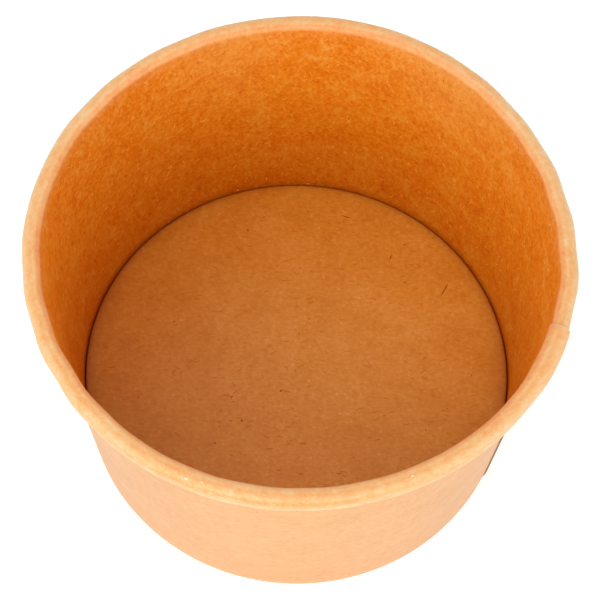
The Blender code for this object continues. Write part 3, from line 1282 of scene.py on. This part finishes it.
# The outside of the tub: bare board, dull and pale peach, with a fine crosswise grain.
OUTER_KRAFT = WallFinish(
    name="kraft_board_bare_calendered", tones=Tones("#D69255", "#F0B06D", "#FFD09C"), roughness=0.7,
    mottles=(
        Mottle(9.0, 0.25, stretch=2.0), Mottle(2.2, 0.28, stretch=1.5),
        Mottle(0.45, 0.24, stretch=3.0, angle=0.15, detail=0.0),
        Mottle(0.45, 0.24, stretch=2.6, angle=-0.6, detail=0.0),
    ),
    fibres=(
        Fibres(angle=0.15, length=3.0, width=0.45, tone=-0.05, cover=0.35, seed=11.0),
        Fibres(angle=-0.3, length=2.5, width=0.4, tone=0.05, cover=0.35, seed=23.0),
    ),
    specks=(Specks(0.4, -0.2, 0.21, 3.0),),
    # The cut end of the outer layer is dark here: a painted shadow under the lap's edge.
    coordinates="UV", fuzz=0.32, end="#8A5A34",
)
# The inside of the wall: the same board under a thin clear lining, a deep orange with painted shade
# that darkens and deepens it towards the floor, with cloudy pulp and short pale fibres that lie
# every way.
LINED_KRAFT = WallFinish(
    name="kraft_board_lined_pressed", tones=Tones("#DB6408", "#FA9422", "#FFC068"), roughness=0.5,
    mottles=(
        Mottle(7.0, 0.5), Mottle(2.4, 0.44, stretch=0.7, detail=1.0),
        Mottle(1.0, 0.36, stretch=0.7, detail=1.0),
        Mottle(0.5, 0.26, stretch=2.2, angle=0.4, detail=0.0),
        Mottle(0.5, 0.26, stretch=2.2, angle=1.4, detail=0.0),
        Mottle(0.5, 0.26, stretch=2.2, angle=2.3, detail=0.0),
    ),
    fibres=(
        Fibres(angle=1.45, length=2.0, width=0.45, tone=0.09, cover=0.4, seed=5.0),
        Fibres(angle=0.4, length=1.8, width=0.4, tone=0.09, cover=0.35, seed=47.0),
    ),
    specks=(Specks(0.45, -0.16, 0.23, 1.0), Specks(0.45, 0.2, 0.23, 7.0)),
    coordinates="UV", specular=0.15, bump=0.12,
    depth_shade_stops=((0.0, "#FFFFFF"), (0.3, "#F6F8BE"), (0.6, "#EAEEA4"), (0.85, "#DFE690")),
)
# The cut edges of the sheet: raw fibre ends, dull and uneven.
CUT_BOARD = KraftFinish(
    name="kraft_board_cut_edge", tones=Tones("#9A6030", "#D49A60", "#F0C898"), roughness=0.85,
    mottles=(Mottle(0.25, 0.9),),
)
# The base: a smoother, yellower board with a slight sheen and long level fibres.
BASE_KRAFT = BaseFinish(
    name="kraft_base_board_lined", tones=Tones("#D27E0C", "#ECA637", "#FFCA76"), roughness=0.42,
    mottles=(
        Mottle(9.0, 0.36), Mottle(2.4, 0.26, stretch=1.3),
        Mottle(0.8, 0.26, stretch=1.3, detail=1.0),
        Mottle(0.45, 0.28, stretch=2.6, angle=0.1, detail=0.0),
        Mottle(0.45, 0.22, stretch=2.2, angle=-0.9, detail=0.0),
    ),
    fibres=(
        Fibres(angle=0.05, length=2.4, width=0.45, tone=-0.06, cover=0.35, seed=3.0),
        Fibres(angle=-0.12, length=2.4, width=0.45, tone=0.08, cover=0.35, seed=17.0),
    ),
    specks=(Specks(0.4, 0.25, 0.21, 2.0),),
)


def fleck_finish(
    name: str, dark: str, body: str, light: str, roughness: float = 0.6, specular: float = 0.15
) -> KraftFinish:
    """Finish of small pressed flecks: a plain colour that varies a little from end to end."""
    tones = Tones(dark, body, light)
    return KraftFinish(name, tones, roughness, (Mottle(0.3, 0.5),), bump=0.0, specular=specular)


# Slivers and dots of bark, a dark brown that stands out on the floor.
BARK = fleck_finish("bark_fleck_pressed", "#A05604", "#B46408", "#C87410")
# Fine fibres a little browner than the floor, which give it its faint level grain.
BROWN_FIBRE = fleck_finish("brown_fibre_pressed", "#D2860A", "#DC9010", "#E69A18")
# Short pale fibres that catch the light on the floor and on the lining.
PALE_FIBRE = fleck_finish("pale_fibre_pressed", "#FAB44C", "#FFBC58", "#FFC464")
# Short red-brown fibres that roughen the lining.
RED_FIBRE = fleck_finish("red_brown_fibre_pressed", "#D86A00", "#E27608", "#EC8210")
# Bleached fibres that lie along the stretched board of the rim.
RIM_FIBRE = fleck_finish("bleached_fibre_on_rim", "#FFD49C", "#FFDCA8", "#FFE4B8", roughness=0.7)
# Nearly white crumbs of filler on the front of the rim.
WHITE_FILLER = fleck_finish("white_filler_crumb", "#FFE8B8", "#FFF2D0", "#FFFAEA", specular=0.5)


@dataclass(frozen=True)
class FleckKind:
    """One piece of flecks: its name, its finish, the slot of its board, and its flecks."""

    name: str
    finish: KraftFinish
    slot: str
    placed: tuple[Fleck, ...] = ()
    scatter: Scatter | None = None


WALL_SLOT, BASE_SLOT = "kraft_wall", "kraft_base"
FLOOR_REACH = 38.0
FLOOR_SPREAD = (-FLOOR_REACH, FLOOR_REACH)
ALL_ROUND, LINING_RUN, RIM_RUN = (-180.0, 180.0), (19.0, 66.0), (69.0, 72.0)

FLOOR_BARK = (
    Fleck(27.8, 19.0, 3.1, 0.26, -115.0, 0.05), Fleck(16.9, 25.5, 1.3, 0.24, -102.0, 0.1),
    Fleck(7.7, 34.0, 1.8, 0.2, -17.0, -0.1), Fleck(20.0, 20.1, 0.4, 0.34, 0.0),
    Fleck(-11.7, 29.5, 0.6, 0.36, -60.0), Fleck(-2.7, -4.9, 0.6, 0.4, 30.0),
    Fleck(-9.7, -11.7, 0.5, 0.34, 45.0), Fleck(-14.4, -16.6, 0.5, 0.3, -30.0),
    Fleck(-12.0, -6.9, 0.6, 0.24, 60.0),
)
FLOOR_PALE = (Fleck(-4.4, 8.2, 3.6, 0.14, -50.0, 0.2), Fleck(-3.2, 7.4, 3.0, 0.12, -40.0, -0.2))
CREASE_CRUMBS = (
    Fleck(110.6, 17.55, 0.55, 0.4, 0.0), Fleck(90.6, 17.3, 0.6, 0.34, 20.0),
    Fleck(132.4, 17.4, 0.5, 0.3, 0.0),
)
RIM_CRUMBS = (
    Fleck(-109.6, 69.5, 0.6, 0.5, 20.0), Fleck(-106.3, 69.2, 0.4, 0.3, 0.0),
    Fleck(-63.0, 69.0, 0.5, 0.3, 10.0),
)
FLECK_KINDS = (
    FleckKind("floor_bark", BARK, BASE_SLOT, FLOOR_BARK,
              Scatter(30, FLOOR_SPREAD, FLOOR_SPREAD, (0.4, 0.16), seed=4)),
    FleckKind("floor_brown_fibres", BROWN_FIBRE, BASE_SLOT, (),
              Scatter(420, FLOOR_SPREAD, FLOOR_SPREAD, (1.2, 0.17), seed=8, angle=(0.0, 40.0))),
    FleckKind("floor_pale_fibres", PALE_FIBRE, BASE_SLOT, FLOOR_PALE,
              Scatter(260, FLOOR_SPREAD, FLOOR_SPREAD, (1.0, 0.15), seed=3)),
    FleckKind("wall_pale_fibres", PALE_FIBRE, WALL_SLOT, CREASE_CRUMBS,
              Scatter(700, ALL_ROUND, LINING_RUN, (0.9, 0.17), seed=5, angle=(70.0, 60.0))),
    FleckKind("wall_red_fibres", RED_FIBRE, WALL_SLOT, (),
              Scatter(700, ALL_ROUND, LINING_RUN, (1.0, 0.19), seed=9, angle=(80.0, 60.0))),
    FleckKind("rim_pale_fibres", RIM_FIBRE, WALL_SLOT, (),
              Scatter(260, ALL_ROUND, RIM_RUN, (0.8, 0.15), seed=6, angle=(0.0, 40.0))),
    FleckKind("rim_crumbs", WHITE_FILLER, WALL_SLOT, RIM_CRUMBS),
)


def build_flecks(makers: PressedFlecks) -> list[tuple[bpy.types.Object, str]]:
    """Builds and dresses every kind of fleck, with one material for each finish.

    Args:
        makers: what places flecks on the floor and on the wall.

    Returns:
        The pieces, each with its slot.
    """
    materials: dict[str, bpy.types.Material] = {}
    pieces = []
    for kind in FLECK_KINDS:
        flecks = kind.placed + (kind.scatter.flecks() if kind.scatter else ())
        if kind.slot == BASE_SLOT:
            kept = tuple(f for f in flecks if math.hypot(f.across, f.along) < FLOOR_REACH)
            piece = makers.on_floor(kind.name, kept)
        else:
            piece = makers.on_lined_face(kind.name, flecks)
        if kind.finish.name not in materials:
            materials[kind.finish.name] = kind.finish.dress()
        piece.data.materials.append(materials[kind.finish.name])
        pieces.append((piece, kind.slot))
    return pieces


def main() -> None:
    """Builds the tub's pieces in order, dresses them and sets the studio."""
    logging.basicConfig(level=logging.INFO, format="%(message)s")
    sizes = TubSizes()
    wall_maker, disc_maker = SideWall(sizes), BottomDisc(sizes)
    wall, disc = wall_maker.build(), disc_maker.build()
    for finish in (LINED_KRAFT, OUTER_KRAFT, CUT_BOARD):
        wall.data.materials.append(finish.dress())
    disc.data.materials.append(BASE_KRAFT.dress())
    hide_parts("side_wall")
    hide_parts("bottom_disc")
    flecks = build_flecks(PressedFlecks(wall_maker, disc_maker))
    for piece, slot in [(wall, WALL_SLOT), (disc, BASE_SLOT), *flecks]:
        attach(piece, "root")
        LOG.info("%s: %d faces", piece.name, len(piece.data.polygons))
    Studio().build()


if __name__ == "__main__":
    main()
